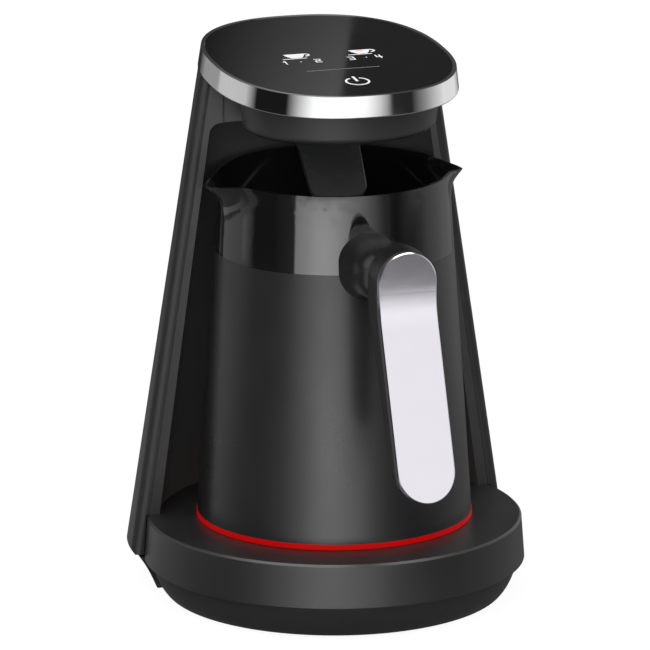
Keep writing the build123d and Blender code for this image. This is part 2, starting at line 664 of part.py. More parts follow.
def pot_sleeve():
    low, high, boss_h = SLEEVE_BOTTOM_Z, SLEEVE_TOP_Z, POT_BOSS_H
    shell = cone(wall_radius(low), wall_radius(high), low, high)
    shell -= cone(wall_radius(low) - SLEEVE_T, wall_radius(high) - SLEEVE_T, low, high)
    inside = cone(wall_radius(low) - SLEEVE_T / 2, wall_radius(high) - SLEEVE_T / 2, low, high)
    for x, y in around(POT_SCREW_RING_R, 3, start=90.0):
        boss = cylinder(POT_BOSS_R, low, low + boss_h, x, y)
        away = Vector(x, y, 0).normalized() * POT_BOSS_R
        rib = Rot(0, 0, degrees_of(x, y)) * Box(2 * POT_BOSS_R, POT_BOSS_R, boss_h)
        boss += Pos(x + away.X, y + away.Y, low + boss_h / 2) * rib
        shell += boss & inside
        shell -= cylinder(SCREW_R, low, low + boss_h - 1, x, y)
    return shell


def pot_ring():
    low, high = POT_Z, SLEEVE_BOTTOM_Z
    return cylinder(POT_FOOT_R, low, high) - cylinder(POT_FOOT_R - FOOT_RING_W, low, high)


def pot_base():
    low, high = POT_Z, SLEEVE_BOTTOM_Z
    outer, lip_t = POT_FOOT_R - FOOT_RING_W - 0.1, 2.0
    disc = turned([(CONNECTOR_R + 0.2, low), (outer, low), (outer, high + lip_t),
                   (outer - lip_t, high + lip_t), (outer - lip_t, high),
                   (CONNECTOR_R + 0.2, high)])
    for x, y in around(POT_SCREW_RING_R, 3, start=90.0):
        disc -= cylinder(2 * POT_BOSS_R - 0.5, high, high + 2 * lip_t, x, y)
        disc -= cylinder(SHANK_HOLE_R - 0.4, low, high, x, y)
        disc -= cylinder(SCREW_HEAD_R + 0.1, low - 1, low + POT_SCREW_SINK, x, y)
    return disc


def pot_screws():
    return [screw(x, y, POT_Z + POT_SCREW_SINK, POT_BOSS_H - 2) & above(POT_Z + 0.2)
            for x, y in around(POT_SCREW_RING_R, 3, start=90.0)]


def pot_connector():
    """Round socket that drops over the power post."""
    low, top, (flange, flange_t) = POT_Z + GAP, SLEEVE_BOTTOM_Z, CONNECTOR_FLANGE
    roof, inner = POST_TOP_Z + POST_PLAY, POST_R + POST_PLAY
    return turned([(inner, low), (CONNECTOR_R, low), (CONNECTOR_R, top),
                   (CONNECTOR_R + flange, top), (CONNECTOR_R + flange, top + flange_t),
                   (CONNECTOR_R, top + flange_t), (CONNECTOR_R, roof + 4), (0, roof + 4),
                   (0, roof), (inner, roof)])


def pot_contacts():
    """Centre pin and ring blade that slide into the power post."""
    low, high, (inner, outer) = SLOT_FLOOR_Z + 1.5, POST_TOP_Z + POST_PLAY, BLADE_R
    return [cylinder(PIN_CONTACT_R, low, high),
            cylinder(outer, low, high) - cylinder(inner, low, high)]


def heater_plate():
    return cylinder(HEATER_R, VESSEL_FLOOR_Z - HEATER_T, VESSEL_FLOOR_Z)


def heater_element():
    """Tubular element brazed under the plate, open at the front where its ends turn down."""
    low = VESSEL_FLOOR_Z - HEATER_T - 2 * ELEMENT_R
    middle = low + ELEMENT_R
    section = Plane.XZ * (Pos(ELEMENT_RING_R, middle) * Circle(ELEMENT_R))
    ring = Rot(0, 0, -90 + ELEMENT_GAP / 2) * revolve(section, Axis.Z, 360 - ELEMENT_GAP)
    for side in (-1, 1):
        angle = radians(-90 + side * ELEMENT_GAP / 2)
        x, y = ELEMENT_RING_R * cos(angle), ELEMENT_RING_R * sin(angle)
        ring += Pos(x, y, middle) * Sphere(ELEMENT_R)
        ring += cylinder(ELEMENT_END_R, low - 4, middle, x, y)
    return ring


def thermostat():
    high = VESSEL_FLOOR_Z - HEATER_T
    body_h, disc_h = THERMOSTAT_H
    body = cylinder(THERMOSTAT_R[0], high - body_h, high)
    body += cylinder(THERMOSTAT_R[1], high - disc_h, high - body_h)
    half_length, half_width, thickness = THERMOSTAT_LUG
    return body + block(-half_length, half_length, -half_width, half_width, high - thickness, high)


# ---- handle -------------------------------------------------------------------------------------
def lever_solid(half_width, near, far, end_cut):
    """Slab between two side lines of the lever, with round ends seen from ahead."""
    (_, top_z), (_, bottom_z) = LEVER_TOP, LEVER_BOTTOM
    front, back = lever_profile(*near), lever_profile(*far)
    edges = front + back + Line(front @ 0, back @ 0) + Line(front @ 1, back @ 1)
    slab = extrude(Plane.YZ * make_face(edges), half_width, both=True)
    middle = (top_z + bottom_z) / 2
    height = top_z - bottom_z - 2 * end_cut
    stadium = SlotOverall(height, 2 * half_width, rotation=90)
    return slab & extrude(Plane.XZ * (Pos(0, middle) * stadium), BIG, both=True)


def lever_profile(upper, lower):
    """Side line of the lever, behind its front face by upper at the top and lower at the foot."""
    top, knee = (Vector(y + upper, z) for y, z in (LEVER_TOP, LEVER_KNEE))
    foot = Vector(LEVER_BOTTOM[0] + lower, LEVER_BOTTOM[1])
    up, down = (top - knee).normalized(), (foot - knee).normalized()
    slant = Line(foot + down * 3, knee + down * KNEE_REACH)
    bend = TangentArc(slant @ 1, knee + up * KNEE_REACH, tangent=slant % 1)
    return slant + bend + Line(bend @ 1, top + up * 3)


def handle_plate():
    plate = lever_solid(LEVER_W / 2, (0, 0), (PLATE_T, PLATE_T), 0.0)
    front = [face for face in plate.faces() if face.normal_at().Y < -0.5]
    rim = [edge for face in front for edge in face.edges() if edge.bounding_box().size.X < 2
           or edge.length > 1.2 * LEVER_W]
    return chamfer(rim, PLATE_BEVEL)


def handle_core():
    """Lever back and the neck that carries it from the pot's wall."""
    lever = lever_solid(LEVER_W / 2 + CORE_MARGIN, (PLATE_T, PLATE_T), LEVER_BACK, -CORE_MARGIN)
    neck = loft([Pos(0, y, z) * Rot(90, 0, 0) * RectangleRounded(width, height, corner)
                 for y, z, width, height, corner in NECK_SECTIONS])
    low, high = SLEEVE_BOTTOM_Z, RIM_Z
    pot = cone(wall_radius(low) + 0.05, wall_radius(high) + 0.05, low, high)
    core = lever + neck - pot
    core -= [along_y(SCREW_R + GAP, -BIG, -RIM_R + 8, z) for z in HANDLE_SCREW_ZS]
    seat = HANDLE_SCREW_HEAD_Y[1]
    return core - [along_y(SCREW_HEAD_R + 0.2, -BIG, seat, z) for z in HANDLE_SCREW_ZS]


def handle_screws():
    head, seat = HANDLE_SCREW_HEAD_Y
    return [along_y(SCREW_HEAD_R, head, seat, z)
            + along_y(SCREW_R + 0.2, seat, -wall_radius(z) - 0.1, z) for z in HANDLE_SCREW_ZS]


NODES = [base_bowl, rubber_feet, base_cover, base_screws, cord_gland, power_socket,
         socket_contacts, power_board, power_relay, transformer, column_back_shell,
         column_front_shell, column_screws, ribbon_cable, head_housing, chrome_band, touch_panel,
         touch_board, key_leds, buzzer, arm_pin, sensor_arm, sensor_window, pot_vessel, pot_sleeve,
         pot_ring, pot_base, pot_screws, pot_connector, pot_contacts, heater_plate, heater_element,
         thermostat, handle_core, handle_plate, handle_screws]

os.makedirs(OUT, exist_ok=True)
for node in NODES:
    export(node.__name__, node())
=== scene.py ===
"""Looks for the electric Turkish coffee maker: studio, camera, materials and the printed touch symbols.
Metres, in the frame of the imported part: +Z up, the pot's handle towards -Y."""
from math import cos, pi, radians, sin

import bmesh
import bpy
from mathutils import Matrix, Vector


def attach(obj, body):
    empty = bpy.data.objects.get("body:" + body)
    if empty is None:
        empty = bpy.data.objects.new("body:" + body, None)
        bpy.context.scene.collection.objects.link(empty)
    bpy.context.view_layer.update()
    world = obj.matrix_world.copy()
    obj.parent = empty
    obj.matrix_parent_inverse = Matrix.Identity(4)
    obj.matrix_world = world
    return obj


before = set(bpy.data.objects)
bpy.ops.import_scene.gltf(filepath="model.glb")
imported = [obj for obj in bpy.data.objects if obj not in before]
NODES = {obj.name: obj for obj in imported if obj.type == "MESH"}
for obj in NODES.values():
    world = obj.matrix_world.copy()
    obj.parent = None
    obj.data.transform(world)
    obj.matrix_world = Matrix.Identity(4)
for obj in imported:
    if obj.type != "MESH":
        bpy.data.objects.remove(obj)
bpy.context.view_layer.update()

SCENE = bpy.context.scene
SCENE.view_settings.view_transform = "Standard"

MM = 0.001
UP = Vector((0, 0, 1))
SEAT = Vector((0, 0.02125, 0))       # foot of the upright line that the pot turns on

# ---- camera -------------------------------------------------------------------------------------
PICTURE = 650                        # pixels, both ways
VIEW_TURN = radians(18)              # the camera stands this far to the left of the front
VIEW_DROP = radians(14.75)           # and looks down by this much
VIEW_DISTANCE = 2.97
VIEW_HEIGHT = 0.117
VIEW_LENS = 387.7                    # millimetres, as SENSOR_WIDTH
SENSOR_WIDTH = 36
VIEW_SHIFT = -9.3 / PICTURE          # the pot's axis stands 9.3 pixels right of the middle
VIEW_CLIP = (0.05, 60)
FORWARD = Vector((sin(VIEW_TURN) * cos(VIEW_DROP), cos(VIEW_TURN) * cos(VIEW_DROP), -sin(VIEW_DROP)))
RIGHT = Vector((cos(VIEW_TURN), -sin(VIEW_TURN), 0))
TO_CAMERA = Vector((-sin(VIEW_TURN), -cos(VIEW_TURN), 0))


def make_camera():
    camera = bpy.data.objects.new("camera", bpy.data.cameras.new("camera"))
    SCENE.collection.objects.link(camera)
    camera.data.sensor_width = SENSOR_WIDTH
    camera.data.lens = VIEW_LENS
    camera.data.shift_x = VIEW_SHIFT
    camera.data.clip_start, camera.data.clip_end = VIEW_CLIP
    camera.location = SEAT + UP * VIEW_HEIGHT - FORWARD * VIEW_DISTANCE
    camera.rotation_mode = "QUATERNION"
    camera.rotation_quaternion = FORWARD.to_track_quat("-Z", "Y")
    SCENE.camera = camera


# ---- node helpers -------------------------------------------------------------------------------
def add(tree, kind, **settings):
    """A new node, with its settings given as properties."""
    node = tree.nodes.new(kind)
    for key, value in settings.items():
        setattr(node, key, value)
    return node


def feed(tree, node, **inputs):
    """Set or link inputs by name, with underscores for spaces, or by number as i0, i1 and so on."""
    for key, value in inputs.items():
        name = int(key[1:]) if key[0] == "i" and key[1:].isdigit() else key.replace("_", " ")
        socket = node.inputs[name]
        if isinstance(value, bpy.types.NodeSocket):
            tree.links.new(value, socket)
        else:
            socket.default_value = value
    return node


def math_node(tree, operation, *values):
    node = add(tree, "ShaderNodeMath", operation=operation)
    for slot, value in enumerate(values):
        feed(tree, node, **{f"i{slot}": value})
    return node.outputs[0]


def product(tree, *values):
    total = values[0]
    for value in values[1:]:
        total = math_node(tree, "MULTIPLY", total, value)
    return total


def vector_node(tree, operation, first, second=(0, 0, 0)):
    node = add(tree, "ShaderNodeVectorMath", operation=operation)
    feed(tree, node, i0=first, i1=second)
    return node.outputs["Value" if operation == "DOT_PRODUCT" else "Vector"]


def ramp_value(tree, value, low, high, out_low=0.0, out_high=1.0, smooth=False):
    node = add(tree, "ShaderNodeMapRange")
    if smooth:
        node.interpolation_type = "SMOOTHSTEP"
    feed(tree, node, Value=value, From_Min=low, From_Max=high, To_Min=out_low, To_Max=out_high)
    return node.outputs["Result"]


def smooth_band(tree, value, low, high, margin):
    """1 between low and high and 0 outside, with soft edges."""
    return product(tree, ramp_value(tree, value, low - margin, low + margin, smooth=True),
                   ramp_value(tree, value, high - margin, high + margin, 1, 0, smooth=True))


def noise(tree, coordinates, scale, detail, roughness=0.5, stretch=None):
    if stretch:
        mapping = add(tree, "ShaderNodeMapping")
        feed(tree, mapping, Vector=coordinates, Scale=stretch)
        coordinates = mapping.outputs[0]
    node = add(tree, "ShaderNodeTexNoise")
    feed(tree, node, Vector=coordinates, Scale=scale, Detail=detail, Roughness=roughness)
    return node.outputs["Fac"]


def mixed(tree, factor, first, second):
    node = add(tree, "ShaderNodeMix", data_type="RGBA")
    feed(tree, node, i0=factor)
    for slot, value in ((6, first), (7, second)):
        if isinstance(value, bpy.types.NodeSocket):
            tree.links.new(value, node.inputs[slot])
        else:
            node.inputs[slot].default_value = (*value, 1)
    return node.outputs[2]


def mixed_shader(tree, factor, first, second):
    node = add(tree, "ShaderNodeMixShader")
    return feed(tree, node, i0=factor, i1=first, i2=second).outputs[0]


def white_light(tree, kind, strength):
    """Background or emission in plain white."""
    return feed(tree, add(tree, kind), Color=(1, 1, 1, 1), Strength=strength).outputs[0]


# ---- studio -------------------------------------------------------------------------------------
# Azimuths are in degrees about the upright axis: 0 towards the camera, growing to its right.
# All levels of this studio were fitted to the brightness of the one photograph.
# The studio all around, up to BOX_TOP: soft boxes and the dark between them. Each zone has its
# level, the azimuth where it ends, and how many degrees to each side that edge is soft. They are
# a coarse form of a longer list, which came from the brightness of the photograph's polished band.
ZONES = {
    "dark_back_left": (0, -153, 6),
    "left_back_box": (0.32, -132.5, 1.5),
    "left_box": (0.56, -90, 7),
    "dark_left": (0.01, -29, 16),
    "front_box": (1.15, 40, 7),
    "dark_right": (0.02, 92, 26),
    "right_box": (0.8, 160, 12),
    "dark_back_right": (0, 180, 0),
}
BOX_BOTTOM, BOX_TOP = radians(-12), radians(45)
SOFT = radians(1.2)                  # half the width of a sharp box's edge
WIDE = 6                             # times as soft: the boxes' top and the overhead's start
FLOOR_LEVEL = 0.13                   # what reflections see below BOX_BOTTOM
OVERHEAD_LEVEL = 4.5
OVERHEAD_FROM = radians(52)
PLAIN_LEVEL = 0.55                   # all that matt surfaces see of the world
# Glowing cards around the machine: foot and top, and levels by azimuth. The first lights the pot's
# glossy band, the next the sleeve, the two foot cards the base, and the last two the pot's right
# and left side. The levels were set point by point from how bright the photograph is at the places
# that mirror each azimuth.
CARD_RADIUS = 1.0
CARD_STEPS = 48
CARD_FADE = 0.012                    # height over which a card fades at its foot and top
CARD_SPARE = 0.01                    # unlit height above its top
CARDS = {
    "front_card": (-0.005, 0.094, ((-60, 0), (-38, 0.12), (-36.5, 1.9), (-28, 2.3), (-16, 3.0),
                                   (-7, 3.1), (1, 2.8), (8, 2.3), (22, 1.5), (35, 0.77),
                                   (48, 0.18), (60, 0))),
    "low_card": (-0.095, 0.005, ((-100, 0.4), (-80, 0.22), (-60, 0.25), (-45, 0.45), (-35, 0.65),
                                 (-25, 1.35), (-16, 3.4), (-8, 5.2), (1, 4.0), (10, 1.6),
                                 (20, 0.5), (27, 0.4))),
    "foot_card": (-0.22, -0.085, ((-60, 0), (-45, 0.6), (-29, 1.8), (-15, 3.7), (0, 4.8),
                                  (14, 4.8), (27, 3.7))),
    "left_foot_card": (-0.26, -0.085, ((-160, 0.45), (-120, 0.45), (-100, 0.38), (-85, 0.15),
                                       (-62, 0))),
    "side_card": (-0.16, 0.045, ((60, 0.04), (72, 0.05), (82, 0.09), (91, 0.18), (102, 0.36),
                                 (125, 0.44), (150, 0.3))),
    "left_card": (-0.05, 0.045, ((-150, 0.3), (-125, 0.38), (-104, 0.41), (-98, 0.4))),
}
# the pale panel behind the machine, mirrored in the glass: azimuths from straight behind
PANEL_EDGE = radians(0.905)
PANEL_LEAN = 0.100                   # how far the edge moves for each step down
PANEL_FADE = radians(-0.35)          # where the panel starts to grow brighter towards its edge
PANEL_LEVELS = (0.05, 0.38)
PANEL_FOOT, PANEL_RISE = radians(20.5), radians(21.3)
PANEL_FOOT_SHARE = 0.6               # of its level, at the foot
BEHIND_LEVEL = 0.065                 # beside the panel
BEHIND_REACH = radians(25)
# the soft box high on the right, mirrored in the handle's plate
HIGH_BOX_LEVELS = (0.97, 0.90)       # at its lower and its upper part
HIGH_BOX_SIDES = (radians(14), radians(58))
HIGH_BOX_FOOT, HIGH_BOX_TOP = radians(0), radians(44)
HIGH_BOX_TURN = (radians(15), radians(24))
HIGH_BOX_SOFT = 3 * SOFT
# the floor: its size, its grey, how bright it is to the camera, and how much that covers the grey
FLOOR_REACH = 12.0
FLOOR_GREY = 0.8
FLOOR_GLOW = 1.09
FLOOR_GLOW_SHARE = 0.86
# place, size and watts of the lamps, which reflections don't see
LAMP_TARGET = (0, 0, 0.1)
LAMPS = {
    "key": ((-1.0, -1.4, 1.5), 1.2, 22),
    "fill": ((1.5, -0.8, 1.0), 1.4, 9),
    "front": ((-0.5, -2.3, 0.45), 1.0, 12),
}


def zone_points():
    """Points of the studio's level by azimuth, flat in each zone and sloped at its soft edges."""
    points = []
    start = -180
    for level, end, soft in ZONES.values():
        points.append((start, level))
        points.append((end - soft, level))
        start = end + soft
    return tuple(points)


def level_curve(tree, value, points):
    """Straight lines between points of (value, level), level beyond the first and the last."""
    (first, _), (last, _) = points[0], points[-1]
    low = min(level for _, level in points)
    span = max(level for _, level in points) - low
    node = add(tree, "ShaderNodeFloatCurve")
    curve = node.mapping.curves[0]
    for place, level in points[1:-1]:
        curve.points.new((place - first) / (last - first), (level - low) / span)
    curve.points[0].location = (0, (points[0][1] - low) / span)
    curve.points[len(points) - 1].location = (1, (points[-1][1] - low) / span)
    for point in curve.points:
        point.handle_type = "VECTOR"
    node.mapping.update()
    feed(tree, node, Factor=1.0, Value=ramp_value(tree, value, first, last))
    return math_node(tree, "MULTIPLY_ADD", node.outputs[0], span, low)


def turn_of(tree, place, ahead=TO_CAMERA):
    """Azimuth of a place or direction in radians, 0 straight ahead."""
    return math_node(tree, "ARCTAN2", vector_node(tree, "DOT_PRODUCT", place, RIGHT),
                     vector_node(tree, "DOT_PRODUCT", place, ahead))


def wall_level(tree, azimuth, elevation, above):
    """The soft boxes all around."""
    around = level_curve(tree, math_node(tree, "DEGREES", azimuth), zone_points())
    under_top = ramp_value(tree, elevation, BOX_TOP - WIDE * SOFT, BOX_TOP + WIDE * SOFT, 1, 0,
                           smooth=True)
    return product(tree, around, product(tree, above, under_top))


def rear_level(tree, direction, elevation, above):
    """The pale panel behind the machine and the dark beside it."""
    behind = turn_of(tree, direction, -TO_CAMERA)
    risen = math_node(tree, "SUBTRACT", elevation, PANEL_RISE)
    leaning = math_node(tree, "ADD", behind, product(tree, risen, PANEL_LEAN))
    lit = math_node(tree, "LESS_THAN", leaning, PANEL_EDGE)
    panel = product(tree, ramp_value(tree, leaning, PANEL_FADE, PANEL_EDGE, *PANEL_LEVELS),
                    ramp_value(tree, elevation, PANEL_FOOT, PANEL_RISE, PANEL_FOOT_SHARE, 1))
    beside = product(tree, math_node(tree, "SUBTRACT", 1, lit), BEHIND_LEVEL)
    near = math_node(tree, "LESS_THAN", math_node(tree, "ABSOLUTE", behind), BEHIND_REACH)
    return product(tree, near, above, math_node(tree, "ADD", product(tree, lit, panel), beside))


def high_box_level(tree, azimuth, elevation):
    """The soft box high on the right."""
    sides = smooth_band(tree, azimuth, *HIGH_BOX_SIDES, HIGH_BOX_SOFT)
    heights = smooth_band(tree, elevation, HIGH_BOX_FOOT, HIGH_BOX_TOP, HIGH_BOX_SOFT)
    level = ramp_value(tree, elevation, *HIGH_BOX_TURN, *HIGH_BOX_LEVELS)
    return product(tree, sides, heights, level)


def studio_level(tree):
    """What reflections see of the world in each direction."""
    direction = add(tree, "ShaderNodeTexCoord").outputs["Generated"]
    azimuth = turn_of(tree, direction)
    elevation = math_node(tree, "ARCSINE", vector_node(tree, "DOT_PRODUCT", direction, UP))
    above = ramp_value(tree, elevation, BOX_BOTTOM - SOFT, BOX_BOTTOM + SOFT, smooth=True)
    floor = product(tree, math_node(tree, "SUBTRACT", 1, above), FLOOR_LEVEL)
    overhead = ramp_value(tree, elevation, OVERHEAD_FROM, OVERHEAD_FROM + WIDE * SOFT,
                          0, OVERHEAD_LEVEL, smooth=True)
    total = wall_level(tree, azimuth, elevation, above)
    for part in (floor, overhead, rear_level(tree, direction, elevation, above)):
        total = math_node(tree, "ADD", total, part)
    return math_node(tree, "MAXIMUM", total, high_box_level(tree, azimuth, elevation))


def make_world():
    """White to the camera, the studio to reflections and a plain level to matt surfaces."""
    world = bpy.data.worlds.new("studio")
    SCENE.world = world
    world.use_nodes = True
    tree = world.node_tree
    tree.nodes.clear()
    path = add(tree, "ShaderNodeLightPath")
    lit = mixed_shader(tree, path.outputs["Is Glossy Ray"],
                       white_light(tree, "ShaderNodeBackground", PLAIN_LEVEL),
                       white_light(tree, "ShaderNodeBackground", studio_level(tree)))
    seen = math_node(tree, "MAXIMUM", path.outputs["Is Camera Ray"],
                     path.outputs["Is Transmission Ray"])
    last = mixed_shader(tree, seen, lit, white_light(tree, "ShaderNodeBackground", 1.0))
    feed(tree, add(tree, "ShaderNodeOutputWorld"), Surface=last)


def stage_object(name, corners, faces):
    """A piece of the studio, which isn't part of the machine."""
    mesh = bpy.data.meshes.new(name)
    mesh.from_pydata(corners, [], faces)
    made = bpy.data.objects.new(name, mesh)
    SCENE.collection.objects.link(made)
    material = bpy.data.materials.new(name)
    material.use_nodes = True
    material.node_tree.nodes.clear()
    mesh.materials.append(material)
    return made, material.node_tree


def make_floor():
    """Pale floor: white to the camera, with the machine's shadow on it, and clear to reflections."""
    corners = [(x * FLOOR_REACH, y * FLOOR_REACH, 0) for x, y in ((-1, -1), (1, -1), (1, 1), (-1, 1))]
    _, tree = stage_object("floor", corners, [(0, 1, 2, 3)])
    path = add(tree, "ShaderNodeLightPath")
    grey = (FLOOR_GREY, FLOOR_GREY, FLOOR_GREY, 1)
    matt = feed(tree, add(tree, "ShaderNodeBsdfDiffuse"), Color=grey).outputs[0]
    clear = add(tree, "ShaderNodeBsdfTransparent").outputs[0]
    lit = mixed_shader(tree, FLOOR_GLOW_SHARE, matt,
                       white_light(tree, "ShaderNodeEmission", FLOOR_GLOW))
    seen = mixed_shader(tree, path.outputs["Is Camera Ray"], matt, lit)
    last = mixed_shader(tree, path.outputs["Is Glossy Ray"], seen, clear)
    feed(tree, add(tree, "ShaderNodeOutputMaterial"), Surface=last)


def card_mesh(foot, top, start, end):
    """Corners and faces of a strip on a circle round the seat, between two azimuths."""
    corners, faces = [], []
    for k in range(CARD_STEPS + 1):
        turn = start + (end - start) * k / CARD_STEPS
        place = SEAT + CARD_RADIUS * (TO_CAMERA * cos(turn) + RIGHT * sin(turn))
        corners += [(place.x, place.y, foot), (place.x, place.y, top + CARD_SPARE)]
    for k in range(CARD_STEPS):
        faces.append((2 * k, 2 * k + 2, 2 * k + 3, 2 * k + 1))
    return corners, faces


def make_card(name, foot, top, levels):
    """Curved glowing strip beside the machine, which only reflections see."""
    start, end = radians(levels[0][0]), radians(levels[-1][0])
    card, tree = stage_object(name, *card_mesh(foot, top, start, end))
    card.visible_camera = card.visible_diffuse = card.visible_shadow = False
    card.visible_transmission = False
    position = add(tree, "ShaderNodeNewGeometry").outputs["Position"]
    place = vector_node(tree, "SUBTRACT", position, SEAT)
    height = vector_node(tree, "DOT_PRODUCT", place, UP)
    fade = product(tree, ramp_value(tree, height, top - CARD_FADE, top, 1, 0, smooth=True),
                   ramp_value(tree, height, foot, foot + CARD_FADE, smooth=True))
    around = level_curve(tree, math_node(tree, "DEGREES", turn_of(tree, place)), levels)
    glow = white_light(tree, "ShaderNodeEmission", product(tree, around, fade))
    clear = add(tree, "ShaderNodeBsdfTransparent").outputs[0]
    feed(tree, add(tree, "ShaderNodeOutputMaterial"), Surface=mixed_shader(tree, fade, clear, glow))


def make_lamp(name, place, size, power):
    lamp = bpy.data.objects.new(name, bpy.data.lights.new(name, "AREA"))
    SCENE.collection.objects.link(lamp)
    lamp.data.shape = "SQUARE"
    lamp.data.size = size
    lamp.data.energy = power
    lamp.location = place
    lamp.rotation_mode = "QUATERNION"
    lamp.rotation_quaternion = (Vector(LAMP_TARGET) - Vector(place)).to_track_quat("-Z", "Y")
    lamp.visible_camera = False
    lamp.visible_glossy = False


# ---- materials ----------------------------------------------------------------------------------
GRAIN_DEPTH = 0.04 * MM
DEEP_TONE = 0.86                     # of the colour, where a surface names no deeper tone
TONE_SPAN, GLOSS_SPAN = (0.3, 0.7), (0.25, 0.75)     # parts of the mottle that these run over
FACING_SPAN = (-0.5, -0.2)           # of the cosine, over which a face turns from inside to out
# how far the shading normal of the handle's plate leans up, by height in millimetres: its upright
# end is crowned a little and runs into the bend without an edge. Set one by one, as the cards were.
PLATE_LEAN = ((144, 0), (148, -0.01), (151, -0.02), (152, -0.017), (153.5, -0.006),
              (154.7, -0.002), (155.2, 0.022), (156.2, 0.018), (158, 0), (163, -0.03), (170, -0.06))


def facing_axis(tree):
    """1 where the surface faces the upright line through the pot's seat, 0 where it faces away."""
    out = vector_node(tree, "SUBTRACT", add(tree, "ShaderNodeTexCoord").outputs["Object"], SEAT)
    unit = vector_node(tree, "NORMALIZE", vector_node(tree, "MULTIPLY", out, (1, 1, 0)))
    normal = add(tree, "ShaderNodeNewGeometry").outputs["True Normal"]
    towards = vector_node(tree, "DOT_PRODUCT", unit, normal)
    return ramp_value(tree, towards, *FACING_SPAN, 1, 0, smooth=True)


def crowned_normal(tree):
    """Shading normal of the handle's plate, which leans by height."""
    place = feed(tree, add(tree, "ShaderNodeSeparateXYZ"),
                 Vector=add(tree, "ShaderNodeTexCoord").outputs["Object"])
    height = product(tree, place.outputs["Z"], 1 / MM)
    rise = feed(tree, add(tree, "ShaderNodeCombineXYZ"), Z=level_curve(tree, height, PLATE_LEAN))
    normal = add(tree, "ShaderNodeNewGeometry").outputs["Normal"]
    return vector_node(tree, "NORMALIZE", vector_node(tree, "ADD", normal, rise.outputs[0]))


def surface(name, colour, rough, deep=None, rough_spread=0.03, grain=0.0, grain_scale=2600,
            stretch=None, mottle=45, inside_painted_light=None, crowned=False, **constants):
    """Principled material: two close tones over a broad mottle, uneven gloss and a fine grain.
    The colour inside, where given, is painted fill light on the faces turned to the pot's axis."""
    material = bpy.data.materials.new(name)
    material.use_nodes = True
    tree = material.node_tree
    tree.nodes.clear()
    place = add(tree, "ShaderNodeTexCoord").outputs["Object"]
    shader = add(tree, "ShaderNodeBsdfPrincipled")
    broad = noise(tree, place, mottle, detail=3.0)
    fine = noise(tree, place, grain_scale, detail=2.0, roughness=0.6, stretch=stretch)
    deep = deep or tuple(c * DEEP_TONE for c in colour)
    tone = mixed(tree, ramp_value(tree, broad, *TONE_SPAN), deep, colour)
    # painted fill light: the faces turned to the pot's axis take the lighter inside colour
    if inside_painted_light:
        tone = mixed(tree, facing_axis(tree), tone, inside_painted_light)
    feed(tree, shader, Base_Color=tone)
    feed(tree, shader, Roughness=ramp_value(tree, broad, *GLOSS_SPAN, rough - rough_spread,
                                            rough + rough_spread))
    if grain:
        bump = feed(tree, add(tree, "ShaderNodeBump"), Strength=grain, Distance=GRAIN_DEPTH,
                    Height=fine)
        if crowned:
            feed(tree, bump, Normal=crowned_normal(tree))
        feed(tree, shader, Normal=bump.outputs[0])
    feed(tree, shader, **constants)
    feed(tree, add(tree, "ShaderNodeOutputMaterial"), Surface=shader.outputs[0])
    return material


